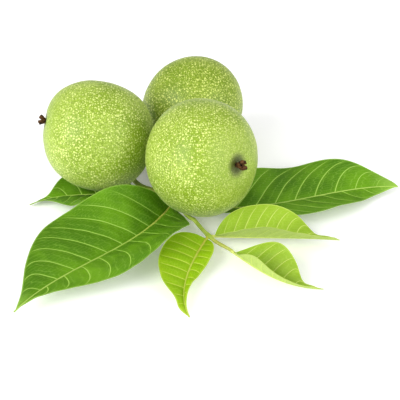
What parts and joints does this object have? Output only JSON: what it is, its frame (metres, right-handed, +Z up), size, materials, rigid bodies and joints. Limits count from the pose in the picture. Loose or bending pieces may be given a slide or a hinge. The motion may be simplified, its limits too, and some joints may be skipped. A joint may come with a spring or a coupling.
{
  "type": "fruiting walnut sprig",
  "caption": "Cut sprig of walnut lying as picked: green husked nuts round the tip of a short woody twig, with a compound leaf of broad and young folded leaflets.",
  "frame": {"origin": "middle of the sprig's box in plan, on the plane that it lies on", "axes": "+Z up from the plane; the leaf's young end and its terminal leaflet point towards -Y and +X, and the twig's cut end towards -X and +Y"},
  "size_m": [0.1468, 0.1476, 0.047],
  "materials": {
    "husk": "satin",
    "blade": "satin",
    "young_blade": "satin",
    "green_stem": "satin",
    "bark": "matte",
    "stigma": "matte"
  },
  "bodies": {
    "root": {"twig": "bark", "rachis": "green_stem", "nut_front": "husk", "stigma_front": "stigma", "stalk_front": "green_stem", "nut_left": "husk", "stigma_left": "stigma", "stalk_left": "green_stem", "nut_back": "husk", "stigma_back": "stigma", "stalk_back": "green_stem", "leaflet_low_left": "blade", "leaflet_low_right": "blade", "leaflet_big_left": "blade", "leaflet_big_right": "blade", "leaflet_young_left": "young_blade", "leaflet_young_right": "young_blade", "leaflet_terminal": "young_blade"}
  },
  "joints": []
}
